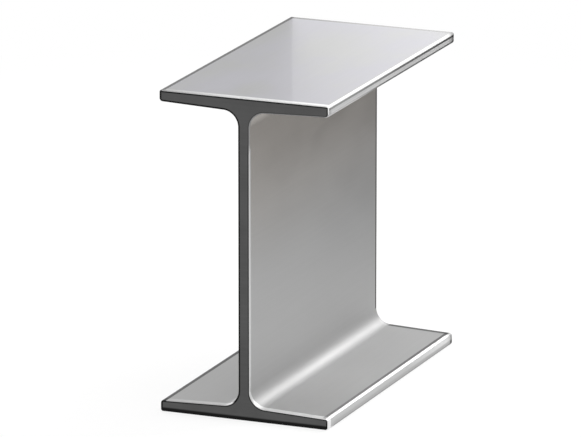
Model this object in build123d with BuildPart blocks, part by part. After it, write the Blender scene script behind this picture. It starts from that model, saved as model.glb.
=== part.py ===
from build123d import *
import os

# A short length of rolled steel I-beam: one solid, standing on its lower flange.
# The section lies in the XZ plane: X runs across the flanges, Z up the web, and the
# beam's length runs along Y. The origin is at the middle of the underside. The inner
# faces of the flanges rise slightly from toe to web, every corner that the rolls form
# is round, and both sawn ends are deburred.

# Section, in millimetres
depth = 117.0
flange_width = 64.0
web_thickness = 4.4
toe_thickness = 4.1
flange_slope = 0.035
root_radius = 5.8
toe_radius = 1.2
edge_radius = 0.8

# Length and sawn ends, in millimetres
length = 120.0
deburr = 0.35


def flange_thickness(x):
    """Thickness of a flange at distance x from the middle of the web."""
    return toe_thickness + flange_slope * (flange_width / 2 - x)


def quarter_corners():
    """Corners of a quarter of the section: up the web, out to the toe, over the flange."""
    half_depth = depth / 2
    half_width = flange_width / 2
    half_web = web_thickness / 2
    return [
        (half_web, 0),
        (half_web, half_depth - flange_thickness(half_web)),
        (half_width, half_depth - flange_thickness(half_width)),
        (half_width, half_depth),
        (0, half_depth),
    ]


with BuildPart() as i_beam:
    # Section: one quarter, rounded at root, toe and outer edge, then mirrored twice
    with BuildSketch(Plane.XZ.shift_origin((0, 0, depth / 2))):
        with BuildLine():
            FilletPolyline(
                *quarter_corners(), radius=[root_radius, toe_radius, edge_radius]
            )
            mirror(about=Plane.XZ)
            mirror(about=Plane.YZ)
        make_face()
    extrude(amount=length / 2, both=True)

    # Sawn ends, with the burr taken off all round
    faces_along = i_beam.faces().group_by(Axis.Y)
    chamfer((faces_along[0] + faces_along[-1]).edges(), length=deburr)

i_beam.part.label = "i_beam"

os.makedirs("parts", exist_ok=True)
export_step(i_beam.part, "parts/i_beam.step")
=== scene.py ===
"""Looks of a short length of rolled steel I-beam, standing on its lower flange.

The beam is one finely divided mesh on the section of the CAD solid. Its skin between the flanges,
its outer faces and its sawn ends have a material each. Lengths are in metres, in the frame of the
CAD model: X across the flanges, Y along the beam from front to back, Z up the web from the
underside.
"""

import math

import bpy
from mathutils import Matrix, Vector


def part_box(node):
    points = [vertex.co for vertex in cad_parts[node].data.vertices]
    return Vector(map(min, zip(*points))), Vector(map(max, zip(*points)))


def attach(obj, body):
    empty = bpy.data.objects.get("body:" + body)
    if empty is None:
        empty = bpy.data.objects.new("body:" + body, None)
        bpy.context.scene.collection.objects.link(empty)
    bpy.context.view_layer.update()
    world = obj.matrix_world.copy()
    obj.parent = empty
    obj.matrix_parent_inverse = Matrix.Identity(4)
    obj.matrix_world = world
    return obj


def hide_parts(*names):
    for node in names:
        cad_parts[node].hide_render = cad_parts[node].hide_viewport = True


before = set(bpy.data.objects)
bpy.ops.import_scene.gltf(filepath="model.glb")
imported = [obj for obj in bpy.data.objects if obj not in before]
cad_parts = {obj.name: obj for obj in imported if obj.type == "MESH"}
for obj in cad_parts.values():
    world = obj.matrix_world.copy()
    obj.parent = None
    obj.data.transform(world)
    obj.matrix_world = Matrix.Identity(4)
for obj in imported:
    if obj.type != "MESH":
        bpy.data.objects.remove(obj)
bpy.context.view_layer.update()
beam_low, beam_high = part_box("i_beam")

MM = 0.001

# Section of the beam. Depth, width and length come from the frame.
WIDTH = beam_high.x - beam_low.x
LENGTH = beam_high.y - beam_low.y
DEPTH = beam_high.z - beam_low.z
WEB_THICKNESS = 4.4 * MM
TOE_THICKNESS = 4.1 * MM
FLANGE_SLOPE = 0.035
ROOT_RADIUS = 5.8 * MM
TOE_RADIUS = 1.2 * MM
EDGE_RADIUS = 0.8 * MM
DEBURR = 0.35 * MM

# Fineness of the mesh: steps round the radii, the grid on straight runs, its finer steps near
# both ends of a run, and the rings inside the outline of a sawn end
ROOT_STEPS = 20
EDGE_STEPS = 8
BEVEL_STEPS = 4
GRID = 4 * MM
NEAR_STEPS = (0.15 * MM, 0.35 * MM, 0.7 * MM, 1.2 * MM)
RIM_INSETS = (0.45 * MM, 0.65 * MM, 0.75 * MM)

# Painted highlight on the edges, from 0 to 1, standing in for light from the upper right; where it
# is low the edges are painted in shade. It rises with how far an edge faces to this side, which is
# up and a little right, and from left to right across the beam, on the top over less of its width.
# The lower right edge has a share of its own.
HIGHLIGHT_SIDE = Vector((0.45, 0.89))
HIGHLIGHT_FROM = 0.3
HIGHLIGHT_TO = 0.47
LEFT_SHARE = 0.5
TOP_SPREAD = 0.4
FOOT_SHARE = 0.25

# The back end: its length, and what is left of the painted highlight there on the web and flanges,
# at the roots, at the toes and on the top
BACK_LENGTH = 4.8 * MM
BACK_SHARE = 0.02
BACK_ROOT_SHARE = 0.55
BACK_TOE_SHARE = 0.35
BACK_TOP_SHARE = 0.3

# Stretches on the right that get the painted highlight although they don't face up: the upper half
# of the front edge, fainter from a height on, the front of the foot, and the underside of the upper
# toe, fully in front of one place and not at all behind another
END_SHARE = 0.5
FAINT_SHARE = 0.3
FAINT_FROM = 99.5 * MM
FOOT_END_SHARE = 0.9
FOOT_LENGTH = 2.4 * MM
TOE_EDGE_SHARE = 0.7
TOE_EDGE_FULL = -35 * MM
TOE_EDGE_NONE = -8 * MM

# Toes: how far round their radius the painted highlight reaches on the lower and the upper flange,
# then how bright the painted highlight on their faces is. The lower one gets brighter between two
# places towards the back. Beside the outer edge, the front half of both keeps only a share of it.
TOE_HIGHLIGHT = (0.6, 0.85)
LOWER_TOE = (0.25, 0.7)
LOWER_TOE_FROM = 10 * MM
LOWER_TOE_TO = 55 * MM
UPPER_TOE = 1.0
TOE_FADE = 0.6

# Strips beside the sawn ends, painted with the edges' highlight or shade: widths on the web at the
# front and the back and on the flanges, the share of the width that is solid, and the height over
# which the front one fades out
WEB_STRIP = 0.9 * MM
BACK_STRIP = 1.3 * MM
FLANGE_STRIP = 2.4 * MM
STRIP_SOLID = 0.7
STRIP_FADE = 1.5 * MM

# Thin lines of painted shade: widths inside the toe, on its face and on the outer faces, the width
# of their soft borders, then how dark they are on the left and, from front to back, on the right of
# the lower and the upper flange
LINE_WIDTH = 1.15 * MM
EDGE_LINE = 0.7 * MM
OUTER_LINE = 1.1 * MM
LINE_SOFT = 0.1 * MM
LEFT_LINE = 0.75
LOWER_LINE = (0.42, 0.65)
UPPER_LINE = (0.4, 0.85)

# Sawn ends: the distance from the outer faces over which the rim of painted shade ends, the share
# at which the distance from the underside counts, and the share of the deburred edge that is solid
RIM_FROM = 0.6 * MM
RIM_TO = 1.0 * MM
FOOT_RIM = 0.55
BEVEL_SOLID = 0.85

# Colours of the steel, as linear levels. The inner side of the upper flange and the upper part
# of the web are painted a little warmer and darker, as shade under the upper flange, and the outer
# faces of the flanges have cooler patches.
SKIN_LEVEL = 0.45
SHADED_WARM_SKIN = (0.437, 0.413, 0.388, 1.0)
WARM_FROM = 45 * MM
WARM_TO = 105 * MM
OUTER_LEVEL = 0.47
COOL_SKIN = (0.464, 0.46, 0.494, 1.0)
# Painted highlight and painted shade on the edges
HIGHLIGHT_LEVEL = 0.92
EDGE_SHADE_LEVEL = 0.1
# Sawn ends: the face painted dark grey as shade, and the rims of painted shade round it, full and
# faint
SHADED_SAWN_LEVEL = 0.1
RIM_LEVEL = 0.013
FAINT_RIM_LEVEL = 0.07

# Roughness, and the thin film of oil on the outer faces
SKIN_ROUGHNESS = 0.45
INNER_ROUGHNESS = 0.5
ROUGHNESS_SPREAD = 0.03
# Roughness where the edges carry the painted highlight
HIGHLIGHT_ROUGHNESS = 0.4
SAWN_ROUGHNESS = 0.5
SKIN_COAT = 0.4
COAT_ROUGHNESS = 0.06

# Noise in the surfaces, as scale, detail and stretch: mottling, lines left by the rolls along the
# beam, marks left by the saw across the end, and grain
SKIN_CLOUDS = (45, 3.0, (1, 0.5, 1))
ROLLING_LINES = (1100, 2.0, (1, 0.02, 1))
SKIN_GRAIN = (5000, 1.0, (1, 1, 1))
SAWN_CLOUDS = (90, 3.0, (1, 1, 1))
SAW_MARKS = (900, 2.0, (0.05, 1, 1))
SAWN_GRAIN = (4000, 1.0, (1, 1, 1))

# The parts of those noises' ranges that are used, what they are mapped to, and how strong and
# how deep the bumps are
CLOUD_RANGE = (0.3, 0.7)
PATCH_RANGE = (0.35, 0.6)
FINE_RANGE = (0.6, 1.4)
SKIN_SHADE = (0.985, 1.015)
SAWN_SHADE = (0.94, 1.06)
BUMP_STRENGTH = 0.3
SKIN_RELIEF = 0.004 * MM
SAWN_RELIEF = 0.02 * MM

# Camera: in front of the sawn end, to its right, looking slightly down. Angles are in degrees.
SENSOR_WIDTH = 36.0
IMAGE_WIDTH = 581
FOCAL_PIXELS = 7302
CAMERA_AZIMUTH = 157.56
CAMERA_ELEVATION = 14.93
DISTANCE = 2.612
TARGET = Vector((-7.12 * MM, 0, 58.16 * MM))


def direction(azimuth, elevation):
    """Unit vector from the beam: azimuth 0 is along +Y and grows towards +X, in degrees."""
    turn, rise = math.radians(azimuth), math.radians(elevation)
    return Vector((
        math.sin(turn) * math.cos(rise),
        math.cos(turn) * math.cos(rise),
        math.sin(rise),
    ))


def make_camera():
    """The camera at the photograph's viewing angle, with a long lens."""
    data = bpy.data.cameras.new("camera")
    data.sensor_width = SENSOR_WIDTH
    data.lens = SENSOR_WIDTH * FOCAL_PIXELS / IMAGE_WIDTH
    camera = bpy.data.objects.new("camera", data)
    away = direction(CAMERA_AZIMUTH, CAMERA_ELEVATION)
    camera.location = TARGET + away * DISTANCE
    camera.rotation_euler = (-away).to_track_quat("-Z", "Y").to_euler()
    bpy.context.scene.collection.objects.link(camera)
    bpy.context.scene.camera = camera


# Section of the beam

def flange_thickness(x):
    """Thickness of a flange at distance x from the middle of the web."""
    return TOE_THICKNESS + FLANGE_SLOPE * (WIDTH / 2 - x)


def rounded(before, corner, after, radius, steps):
    """Points of the arc that rounds a corner, from one tangent point to the other."""
    to_before = (before - corner).normalized()
    to_after = (after - corner).normalized()
    half_angle = to_before.angle(to_after) / 2
    middle = (to_before + to_after).normalized()
    centre = corner + middle * (radius / math.sin(half_angle))
    reach = radius / math.tan(half_angle)
    start = corner + to_before * reach - centre
    end = corner + to_after * reach - centre
    sweep = math.pi - 2 * half_angle
    return [
        centre + (start * math.sin(sweep * (1 - t)) + end * math.sin(sweep * t)) / math.sin(sweep)
        for t in (step / steps for step in range(steps + 1))
    ]


def stops(length):
    """Places along a straight run: close together near both ends, about a grid step apart between.
    A fine step that is longer than a third of the run is left out."""
    near = [step for step in NEAR_STEPS if step < length / 3]
    inner = length - 2 * near[-1]
    count = max(1, round(inner / GRID))
    grid = [near[-1] + inner * i / count for i in range(count + 1)]
    return near[:-1] + grid + [length - step for step in reversed(near[:-1])]


def quarter_section():
    """Points of a quarter of the section, from the middle of the web's side to the middle of
    the flange's outer face, their arc lengths, and the arc lengths where root, toe and outer
    edge start and end."""
    half_web = WEB_THICKNESS / 2
    half_width = WIDTH / 2
    half_depth = DEPTH / 2
    corners = [
        Vector((half_web, 0)),
        Vector((half_web, half_depth - flange_thickness(half_web))),
        Vector((half_width, half_depth - TOE_THICKNESS)),
        Vector((half_width, half_depth)),
        Vector((0, half_depth)),
    ]
    rounds = ((ROOT_RADIUS, ROOT_STEPS), (TOE_RADIUS, EDGE_STEPS), (EDGE_RADIUS, EDGE_STEPS))
    points = [corners[0]]
    tangents = []
    for place, (radius, steps) in enumerate(rounds):
        arc = rounded(*corners[place:place + 3], radius, steps)
        run = arc[0] - points[-1]
        points += [points[-1] + run.normalized() * stop for stop in stops(run.length)]
        tangents.append((len(points), len(points) + steps))
        points += arc
    run = corners[-1] - points[-1]
    points += [points[-1] + run.normalized() * stop for stop in stops(run.length)]
    points.append(corners[-1])
    reach = [0.0]
    for start, end in zip(points, points[1:]):
        reach.append(reach[-1] + (end - start).length)
    return points, reach, [(reach[start], reach[end]) for start, end in tangents]


def whole_section(quarter, reach):
    """The closed section as (x, z, arc length in its quarter), anticlockwise from the right."""
    outline = []
    for side_x, side_z in ((1, 1), (-1, 1), (-1, -1), (1, -1)):
        run = [(side_x * p.x, DEPTH / 2 + side_z * p.y, s) for p, s in zip(quarter, reach)]
        if side_x != side_z:
            run.reverse()
        outline += run[:-1]
    return outline


def inward(outline):
    """Normal into the section at each point of the outline, long enough to keep an inset even
    round a corner."""
    normals = []
    for place, (x, z, _) in enumerate(outline):
        before = outline[place - 1]
        after = outline[(place + 1) % len(outline)]
        back = Vector((x - before[0], z - before[1])).normalized()
        ahead = Vector((after[0] - x, after[1] - z)).normalized()
        along = (back + ahead).normalized()
        normals.append(Vector((-along.y, along.x)) / along.dot(ahead))
    return normals


# Painted highlight and shade on the edges

def clamped(value):
    """value, kept between 0 and 1."""
    return min(1.0, max(0.0, value))


def highlight_share(outline, normals, tangents):
    """How strong the painted highlight on an edge is at each point of the outline, from the way it
    faces the light; where it is low, the edge is painted in shade. A toe or outer edge has one
    value round its radius."""
    _, (toe_start, toe_end), (edge_start, edge_end) = tangents
    shares = []
    for (x, z, s), normal in zip(outline, normals):
        facing = -normal.normalized()
        right, up = math.copysign(1, x), math.copysign(1, z - DEPTH / 2)
        if toe_start - LINE_WIDTH < s < toe_end:
            facing = Vector((right, -up)).normalized()
        elif edge_start - LINE_WIDTH < s < edge_end + LINE_SOFT:
            facing = Vector((right, up)).normalized()
        share = (facing.dot(HIGHLIGHT_SIDE) - HIGHLIGHT_FROM) / (HIGHLIGHT_TO - HIGHLIGHT_FROM)
        if edge_start - LINE_SOFT < s < edge_end + LINE_SOFT and right > 0 > up:
            share = FOOT_SHARE
        spread = TOP_SPREAD if s > edge_end + LINE_SOFT else 1.0
        rightward = clamped((x / WIDTH + 0.5) / spread)
        shares.append(clamped(share) * (LEFT_SHARE + (1 - LEFT_SHARE) * rightward))
    return shares


def share_on_ring(y, x, z, s, share, tangents):
    """The painted highlight share of an outline point at one place along the beam: less at the back
    end, and more on the stretches that get the painted highlight although they don't face up."""
    (root_start, root_end), (toe_start, toe_end), (edge_start, edge_end) = tangents
    if y > beam_high.y - DEBURR - BACK_LENGTH:
        if s > edge_end:
            return share * BACK_TOP_SHARE
        if s > toe_start:
            return share * BACK_TOE_SHARE
        return share * (BACK_ROOT_SHARE if root_start < s < root_end else BACK_SHARE)
    if x <= 0:
        return share
    upper = z > DEPTH / 2
    if upper and s < toe_end and y < beam_low.y + DEBURR:
        faint = z > FAINT_FROM and s < toe_start
        return FAINT_SHARE if faint else max(share, END_SHARE)
    if upper and toe_start < s < toe_end:
        return TOE_EDGE_SHARE * clamped((TOE_EDGE_NONE - y) / (TOE_EDGE_NONE - TOE_EDGE_FULL))
    foot = not upper and edge_start - LINE_WIDTH < s < edge_end
    if foot and y < beam_low.y + FOOT_LENGTH:
        return FOOT_END_SHARE
    return share


# Mesh of the beam

INNER_SKIN, OUTER_SKIN, SAWN_END = range(3)


def end_rings():
    """(distance from the end plane, inset from the outline) of the rings round a sawn end, from
    the rim of its face out over the deburred edge to the skin."""
    rings = [(0.0, inset) for inset in reversed(RIM_INSETS)]
    for step in range(BEVEL_STEPS + 1):
        turn = math.pi / 2 * step / BEVEL_STEPS
        rings.append((DEBURR * (1 - math.cos(turn)), DEBURR * (1 - math.sin(turn))))
    return rings


def tube_faces(rings, count):
    """Faces of a closed tube on rings of points: front cap, sides from ring to ring, back cap."""
    faces = [list(range(count))]
    for ring in range(rings - 1):
        low, high = ring * count, (ring + 1) * count
        for i in range(count):
            j = (i + 1) % count
            faces.append((low + i, high + i, high + j, low + j))
    faces.append([rings * count - 1 - i for i in range(count)])
    return faces


def build_beam(outline, tangents):
    """The beam's mesh, with a material slot each for the skin between the flanges, toes included,
    the outer faces and the sawn ends. Its points carry their arc length in the quarter section,
    their inset from the outline, how strong the painted highlight on an edge is there, and whether
    the rim of painted shade on a sawn end is dark there or faint."""
    normals = inward(outline)
    shares = highlight_share(outline, normals, tangents)
    ends = end_rings()
    rings = [(beam_low.y + gap, inset) for gap, inset in ends]
    rings += [(beam_low.y + DEBURR + stop, 0.0) for stop in stops(LENGTH - 2 * DEBURR)]
    rings += [(beam_high.y - gap, inset) for gap, inset in reversed(ends)]

    _, (toe_start, _), (_, edge_end) = tangents
    points, section, insets, bright, rims = [], [], [], [], []
    for y, inset in rings:
        for (x, z, s), normal, share in zip(outline, normals, shares):
            points.append((x + normal.x * inset, y, z + normal.y * inset))
            section.append(s)
            insets.append(inset)
            # Painted highlight share, and whether the sawn end's rim of painted shade is full or
            # faint
            bright.append(share_on_ring(y, x, z, s, share, tangents))
            rims.append(float(x < 0 or z < FAINT_FROM or s > toe_start))

    mesh = bpy.data.meshes.new("i_beam_rolled")
    mesh.from_pydata(points, [], tube_faces(len(rings), len(outline)))
    carried = {"section": section, "inset": insets, "highlight_share": bright, "rim": rims}
    for name, values in carried.items():
        mesh.attributes.new(name, "FLOAT", "POINT").data.foreach_set("value", values)
    sawn_faces = 1 + (len(ends) - 1) * len(outline)
    for place, face in enumerate(mesh.polygons):
        face.use_smooth = True
        outer = min(section[point] for point in face.vertices) > edge_end - LINE_SOFT
        face.material_index = OUTER_SKIN if outer else INNER_SKIN
        if place < sawn_faces or place >= len(mesh.polygons) - sawn_faces:
            face.material_index = SAWN_END
    beam = bpy.data.objects.new("i_beam_rolled", mesh)
    bpy.context.scene.collection.objects.link(beam)
    return beam


# Shader nodes

def add_node(material, kind, inputs, **settings):
    """A shader node with its settings, and its inputs set to values or linked to sockets."""
    node = material.node_tree.nodes.new(kind)
    for name, value in settings.items():
        setattr(node, name, value)
    for name, value in inputs.items():
        if isinstance(value, bpy.types.NodeSocket):
            material.node_tree.links.new(value, node.inputs[name])
        else:
            node.inputs[name].default_value = value
    return node


def ramp(material, value, start, end, low=0.0, high=1.0):
    """value, smoothly mapped from start..end to low..high."""
    return add_node(
        material, "ShaderNodeMapRange",
        {"Value": value, "From Min": start, "From Max": end, "To Min": low, "To Max": high},
        interpolation_type="SMOOTHSTEP",
    ).outputs["Result"]


def between(material, share, low, high):
    """A number from low, where share is 0, to high, where share is 1."""
    return ramp(material, share, 0.0, 1.0, low, high)


def combine(material, operation, first, second):
    """A difference, quotient or other operation of two numbers."""
    return add_node(
        material, "ShaderNodeMath", {0: first, 1: second}, operation=operation
    ).outputs[0]


def product(material, first, *others):
    """The product of two or more numbers."""
    for other in others:
        first = combine(material, "MULTIPLY", first, other)
    return first


def largest(material, first, *others):
    """The largest of two or more numbers."""
    for other in others:
        first = combine(material, "MAXIMUM", first, other)
    return first


def band(material, value, start, end, soft):
    """1 where value lies between start and end, 0 outside, with soft borders."""
    rising = ramp(material, value, start - soft, start)
    falling = ramp(material, value, end, end + soft, 1.0, 0.0)
    return product(material, rising, falling)


def blend(material, share, first, second):
    """A colour between two others."""
    node = add_node(material, "ShaderNodeMix", {0: share, 6: first, 7: second}, data_type="RGBA")
    return node.outputs[2]


def scaled(material, colour, share):
    """A colour made lighter or darker."""
    return add_node(
        material, "ShaderNodeVectorMath", {0: colour, "Scale": share}, operation="SCALE"
    ).outputs["Vector"]


def noise(material, place, scale, detail, stretch):
    """Noise from 0 to 1 over a place, with features about 1 / scale metres wide."""
    spread = add_node(
        material, "ShaderNodeMapping", {"Vector": place, "Scale": stretch}
    ).outputs["Vector"]
    return add_node(
        material, "ShaderNodeTexNoise", {"Vector": spread, "Scale": scale, "Detail": detail}
    ).outputs["Fac"]


def grey(level):
    """A linear grey of that level."""
    return (level, level, level, 1.0)


def attribute(material, name):
    """A number that the mesh carries at its points."""
    return add_node(material, "ShaderNodeAttribute", {}, attribute_name=name).outputs["Fac"]


def coordinates(material, place):
    """X, Y and Z of a place."""
    return add_node(material, "ShaderNodeSeparateXYZ", {"Vector": place}).outputs


def new_material(name):
    """A material with its Principled shader and the object's coordinates."""
    material = bpy.data.materials.new(name)
    material.use_nodes = True
    shader = material.node_tree.nodes["Principled BSDF"]
    place = add_node(material, "ShaderNodeTexCoord", {}).outputs["Object"]
    return material, shader, place


def add_relief(material, shader, height, relief):
    """Bumps of that height, with relief as their greatest depth."""
    bump = add_node(
        material, "ShaderNodeBump",
        {"Height": height, "Strength": BUMP_STRENGTH, "Distance": relief},
    )
    material.node_tree.links.new(bump.outputs["Normal"], shader.inputs["Normal"])


# Rolled skin

def upper_half(material, xyz):
    """1 on the upper half of the beam, 0 on the lower."""
    return ramp(material, xyz["Z"], DEPTH / 2, DEPTH / 2 + GRID)


def end_strips(material, tangents, section, xyz):
    """1 on the strips of skin beside the sawn ends, where the edges' painted highlight or painted
    shade goes, 0 elsewhere. The front one leaves out the upper roots and comes back towards the
    upper toes."""
    (root_start, root_end), (toe_start, _), _ = tangents
    off_middle = combine(material, "ABSOLUTE", xyz["Y"], 0.0)
    gap = combine(material, "SUBTRACT", LENGTH / 2 - DEBURR, off_middle)
    web_width = ramp(material, xyz["Y"], -GRID, GRID, WEB_STRIP, BACK_STRIP)
    width = ramp(material, section, root_start, root_end, web_width, FLANGE_STRIP)
    strip = ramp(material, combine(material, "DIVIDE", gap, width), 1.0, STRIP_SOLID)
    left_out = product(
        material,
        ramp(material, xyz["Z"], FAINT_FROM - STRIP_FADE, FAINT_FROM),
        ramp(material, section, toe_start, root_end),
        ramp(material, xyz["Y"], GRID, -GRID),
    )
    return product(material, strip, between(material, left_out, 1.0, 0.0))


def toe_masks(material, tangents, section, xyz):
    """Numbers from 0 to 1: the rounds of toe and outer edge, and how strong the painted highlight
    is on the toe's face between them."""
    _, (toe_start, toe_end), (edge_start, edge_end) = tangents
    upper = upper_half(material, xyz)
    middles = [toe_start + (toe_end - toe_start) * part for part in TOE_HIGHLIGHT]
    toes = [band(material, section, toe_start, middle, LINE_SOFT) for middle in middles]
    faces = [band(material, section, middle, edge_start, LINE_SOFT) for middle in middles]
    edge = band(material, section, edge_start, edge_end, LINE_SOFT)
    rounds = largest(material, between(material, upper, *toes), edge)

    edgeward = ramp(
        material, section, toe_end, edge_start,
        1.0, ramp(material, xyz["Y"], 0.0, LENGTH / 2, TOE_FADE, 1.0),
    )
    lower_toe = ramp(material, xyz["Y"], LOWER_TOE_FROM, LOWER_TOE_TO, *LOWER_TOE)
    toe_face = product(
        material, between(material, upper, *faces), edgeward,
        between(material, upper, lower_toe, UPPER_TOE),
    )
    return rounds, toe_face


def thin_lines(material, tangents, section, xyz):
    """How dark the thin lines of painted shade are that run inside each toe, along the outer edge
    on the upper toe's face, and on the left of the outer faces. 0 elsewhere."""
    _, (toe_start, _), (edge_start, edge_end) = tangents
    upper = upper_half(material, xyz)
    left = ramp(material, xyz["X"], 0.0, -GRID)
    toe_line = band(material, section, toe_start - LINE_WIDTH, toe_start - LINE_SOFT, LINE_SOFT)
    edge_line = band(material, section, edge_start - EDGE_LINE, edge_start - LINE_SOFT, LINE_SOFT)
    outer_line = band(material, section, edge_end, edge_end + OUTER_LINE, LINE_SOFT)
    lines = largest(
        material, toe_line,
        product(material, edge_line, upper), product(material, outer_line, left),
    )
    lower_dark = ramp(material, xyz["Y"], -LENGTH / 2, LENGTH / 2, *LOWER_LINE)
    upper_dark = ramp(material, xyz["Y"], -LENGTH / 2, LENGTH / 2, *UPPER_LINE)
    right_dark = between(material, upper, lower_dark, upper_dark)
    return product(material, lines, between(material, left, right_dark, LEFT_LINE))


def skin_tint(material, tangents, section, xyz, clouds):
    """Colour of the skin before it is mottled: painted warmer and darker high up between the
    flanges, as shade under the upper flange, with cool patches on their outer faces."""
    _, (toe_start, _), (_, edge_end) = tangents
    high = ramp(material, xyz["Z"], WARM_FROM, WARM_TO)
    inside = ramp(material, section, toe_start, toe_start - LINE_WIDTH)
    outside = ramp(material, section, edge_end, edge_end + LINE_WIDTH)
    patches = ramp(material, clouds, *PATCH_RANGE)
    outer_tint = blend(material, patches, grey(OUTER_LEVEL), COOL_SKIN)
    tint = blend(material, outside, grey(SKIN_LEVEL), outer_tint)
    return blend(material, product(material, high, inside), tint, SHADED_WARM_SKIN)


def rolled_skin(name, tangents, roughness, coat):
    """Satin steel as rolled: fine lines along the beam, faint mottling, a painted highlight on the
    edges and toe faces that face the upper right, painted shade on the other edges, and thin lines
    of painted shade. A coat is a thin film of oil."""
    material, shader, place = new_material(name)
    links = material.node_tree.links
    shader.inputs["Metallic"].default_value = 1.0
    shader.inputs["Coat Weight"].default_value = coat
    shader.inputs["Coat Roughness"].default_value = COAT_ROUGHNESS

    xyz = coordinates(material, place)
    section = attribute(material, "section")
    bright = attribute(material, "highlight_share")
    clouds = noise(material, place, *SKIN_CLOUDS)
    fine = combine(
        material, "ADD",
        noise(material, place, *ROLLING_LINES), noise(material, place, *SKIN_GRAIN),
    )
    shade = product(
        material,
        ramp(material, fine, *FINE_RANGE, *SKIN_SHADE),
        ramp(material, clouds, *CLOUD_RANGE, *SKIN_SHADE),
    )
    skin = scaled(material, skin_tint(material, tangents, section, xyz, clouds), shade)

    # Painted highlight on edges and toe faces towards the upper right, painted shade on other edges
    rounds, toe_face = toe_masks(material, tangents, section, xyz)
    edges = largest(material, rounds, end_strips(material, tangents, section, xyz))
    edge_colour = blend(material, bright, grey(EDGE_SHADE_LEVEL), grey(HIGHLIGHT_LEVEL))
    colour = blend(material, product(material, toe_face, bright), skin, grey(HIGHLIGHT_LEVEL))
    colour = blend(material, edges, colour, edge_colour)
    # Thin lines of painted shade
    dark = thin_lines(material, tangents, section, xyz)
    links.new(blend(material, dark, colour, grey(0.0)), shader.inputs["Base Color"])

    uneven = ramp(
        material, clouds, *CLOUD_RANGE, roughness - ROUGHNESS_SPREAD, roughness + ROUGHNESS_SPREAD
    )
    highlighted = product(material, edges, bright)
    links.new(
        between(material, highlighted, uneven, HIGHLIGHT_ROUGHNESS), shader.inputs["Roughness"]
    )
    add_relief(material, shader, fine, SKIN_RELIEF)
    return material


# Sawn ends

def outer_gap(material, place):
    """Distance of a place on a sawn end from the nearest outer face or toe of a flange, with the
    distance from the underside counted shorter."""
    xyz = coordinates(material, place)
    below_top = combine(material, "SUBTRACT", DEPTH, xyz["Z"])
    above_foot = product(material, xyz["Z"], FOOT_RIM)
    height = combine(material, "MINIMUM", below_top, above_foot)
    side = combine(material, "SUBTRACT", WIDTH / 2, combine(material, "ABSOLUTE", xyz["X"], 0.0))
    return combine(material, "MINIMUM", height, side)


def sawn_end():
    """Sawn steel, painted dark grey as shade, with faint saw marks, a rim of painted shade, fainter
    round the upper right root and under the flange there, and a deburred edge with a painted
    highlight towards the upper right and painted shade elsewhere."""
    material, shader, place = new_material("sawn_end")
    links = material.node_tree.links
    shader.inputs["Metallic"].default_value = 1.0

    clouds = noise(material, place, *SAWN_CLOUDS)
    fine = combine(
        material, "ADD", noise(material, place, *SAW_MARKS), noise(material, place, *SAWN_GRAIN)
    )
    shade = product(
        material,
        ramp(material, clouds, *CLOUD_RANGE, *SAWN_SHADE),
        ramp(material, fine, *FINE_RANGE, *SAWN_SHADE),
    )
    # The face, painted dark grey as shade
    face = scaled(material, grey(SHADED_SAWN_LEVEL)[:3], shade)

    inset = attribute(material, "inset")
    bright = attribute(material, "highlight_share")
    # Rim of painted shade near the outer faces
    inner = product(
        material,
        ramp(material, inset, RIM_INSETS[1], RIM_INSETS[-1]),
        ramp(material, outer_gap(material, place), RIM_FROM, RIM_TO),
    )
    rim = blend(material, attribute(material, "rim"), grey(FAINT_RIM_LEVEL), grey(RIM_LEVEL))
    # Deburred edge with a painted highlight towards the upper right and painted shade elsewhere
    bevel = ramp(material, inset, DEBURR, DEBURR * BEVEL_SOLID)
    edge_colour = blend(material, bright, grey(RIM_LEVEL), grey(HIGHLIGHT_LEVEL))
    colour = blend(material, bevel, blend(material, inner, rim, face), edge_colour)
    links.new(colour, shader.inputs["Base Color"])

    highlighted = product(material, bevel, bright)
    links.new(
        between(material, highlighted, SAWN_ROUGHNESS, HIGHLIGHT_ROUGHNESS), shader.inputs["Roughness"]
    )
    add_relief(material, shader, fine, SAWN_RELIEF)
    return material


# Floor: its side and its drop below the beam, its albedo for the light that it throws on the
# beam, then its albedo and glow where it is seen or mirrored, and the distances from the middle
# of the beam between which it fades to white
FLOOR_SIDE = 12.0
FLOOR_DROP = 0.1 * MM
FLOOR_ALBEDO = 0.8
SEEN_ALBEDO = 0.2
FLOOR_GLOW = 0.8
FLOOR_WHITE_FROM = 0.12
FLOOR_WHITE_TO = 0.5

# World: its level above the white horizon, and the height at which it is reached
WORLD_LEVEL = 0.5
HORIZON_TOP = math.sin(math.radians(12))

# Soft boxes: name, azimuth and elevation from the beam, distance, width, height, radiance
SOFT_BOXES = (
    ("back_right", 25, 40, 0.5, 0.35, 0.35, 3.1),
    ("back_low", 30, 22, 0.5, 0.35, 0.35, 0.3),
    ("back_high", 10, 50, 0.5, 0.4, 0.4, 0.46),
    ("back_left", -20, 16, 0.6, 0.3, 0.3, 0.18),
    ("left", -71, 20, 0.5, 0.6, 0.45, 1.7),
    ("right", 85, 60, 0.5, 0.4, 0.4, 1.6),
    ("front", 180, 45, 1.5, 0.8, 0.8, 1.5),
    ("front_right", 135, 45, 1.5, 0.8, 0.8, 1.2),
)

# Cards that only mirrors see: name, low corner, high corner, the axis along which their level
# changes, and where along it from which level to which
CARD_GAP = 2 * MM
CARDS = (
    (
        "white_card", (-WIDTH / 2, LENGTH / 2 + CARD_GAP, DEPTH),
        (300 * MM, LENGTH / 2 + CARD_GAP, 350 * MM), "X", (-30 * MM, 30 * MM), (1.1, 1.32),
    ),
    (
        "grey_card", (-10 * MM, LENGTH / 2 + 10 * MM, 0.5 * MM),
        (600 * MM, 1200 * MM, 0.5 * MM), "Y", (90 * MM, 400 * MM), (0.93, 0.0),
    ),
)


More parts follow.
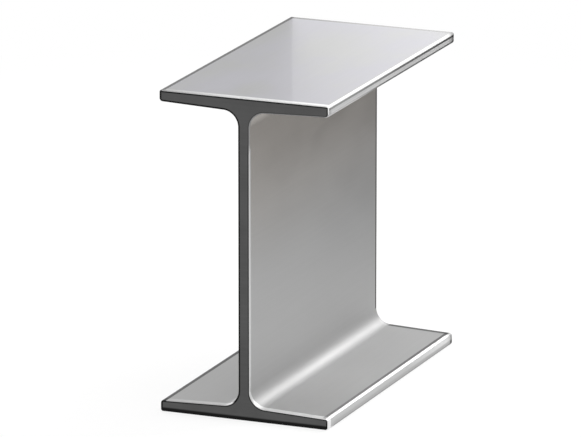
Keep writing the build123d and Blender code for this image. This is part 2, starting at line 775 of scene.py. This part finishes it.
def glowing_material(name):
    """A material without gloss that glows white, with its strength still to be set."""
    material, shader, place = new_material(name)
    shader.inputs["Roughness"].default_value = 1.0
    shader.inputs["Specular IOR Level"].default_value = 0.0
    shader.inputs["Emission Color"].default_value = grey(1.0)
    return material, shader, place


def flat_plane(name, corners, material):
    """A flat four-cornered plane."""
    mesh = bpy.data.meshes.new(name)
    mesh.from_pydata(corners, [], [(0, 1, 2, 3)])
    mesh.materials.append(material)
    plane = bpy.data.objects.new(name, mesh)
    bpy.context.scene.collection.objects.link(plane)
    return plane


def make_floor():
    """A wide pale floor. Where it is seen or mirrored, it takes a faint shadow round the beam and
    fades to plain white further out."""
    material, shader, place = glowing_material("floor")
    links = material.node_tree.links
    path = add_node(material, "ShaderNodeLightPath", {}).outputs
    seen = largest(material, path["Is Camera Ray"], path["Is Glossy Ray"])
    away = add_node(
        material, "ShaderNodeVectorMath", {0: place}, operation="LENGTH"
    ).outputs["Value"]
    far = ramp(material, away, FLOOR_WHITE_FROM, FLOOR_WHITE_TO)
    glow = product(material, seen, between(material, far, FLOOR_GLOW, 1.0))
    links.new(glow, shader.inputs["Emission Strength"])
    seen_colour = blend(material, far, grey(SEEN_ALBEDO), grey(0.0))
    links.new(blend(material, seen, grey(FLOOR_ALBEDO), seen_colour), shader.inputs["Base Color"])

    half = FLOOR_SIDE / 2
    corners = [(-half, -half), (half, -half), (half, half), (-half, half)]
    floor = flat_plane("floor", [(x, y, -FLOOR_DROP) for x, y in corners], material)


def make_world():
    """A plain surround: a white horizon that darkens a little higher up."""
    world = bpy.data.worlds.new("world")
    world.use_nodes = True
    background = world.node_tree.nodes["Background"]
    background.inputs["Color"].default_value = grey(1.0)
    towards = add_node(world, "ShaderNodeTexCoord", {}).outputs["Generated"]
    height = coordinates(world, towards)["Z"]
    level = ramp(world, height, 0.0, HORIZON_TOP, 1.0, WORLD_LEVEL)
    world.node_tree.links.new(level, background.inputs["Strength"])
    bpy.context.scene.world = world


def make_cards():
    """A white card behind the beam, whose left edge shows as a seam on the upper flange, and one
    on the floor that darkens towards the back, which shades the upper part of the web."""
    for name, low, high, axis, places, levels in CARDS:
        material, shader, place = glowing_material(name)
        shader.inputs["Base Color"].default_value = grey(0.0)
        level = ramp(material, coordinates(material, place)[axis], *places, *levels)
        material.node_tree.links.new(level, shader.inputs["Emission Strength"])
        corners = [low, (high[0], low[1], low[2]), high, (low[0], high[1], high[2])]
        card = flat_plane(name, corners, material)
        card.visible_camera = False
        card.visible_shadow = False
        card.visible_diffuse = False


def make_lights():
    """Soft boxes that face the beam. A radiance of 1 shows as white in a mirror."""
    centre = Vector((0, 0, DEPTH / 2))
    for name, azimuth, elevation, distance, width, height, radiance in SOFT_BOXES:
        data = bpy.data.lights.new(name, "AREA")
        data.shape = "RECTANGLE"
        data.size, data.size_y = width, height
        data.energy = radiance * math.pi * width * height
        light = bpy.data.objects.new(name, data)
        away = direction(azimuth, elevation)
        light.location = centre + away * distance
        light.rotation_euler = away.to_track_quat("Z", "Y").to_euler()
        light.visible_camera = False
        bpy.context.scene.collection.objects.link(light)


make_camera()
quarter, reach, tangents = quarter_section()
beam = build_beam(whole_section(quarter, reach), tangents)
beam.data.materials.append(rolled_skin("inner_skin", tangents, INNER_ROUGHNESS, 0.0))
beam.data.materials.append(rolled_skin("outer_skin", tangents, SKIN_ROUGHNESS, SKIN_COAT))
beam.data.materials.append(sawn_end())
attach(beam, "root")
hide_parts("i_beam")
make_floor()
make_world()
make_lights()
make_cards()
bpy.context.scene.view_settings.view_transform = "Standard"
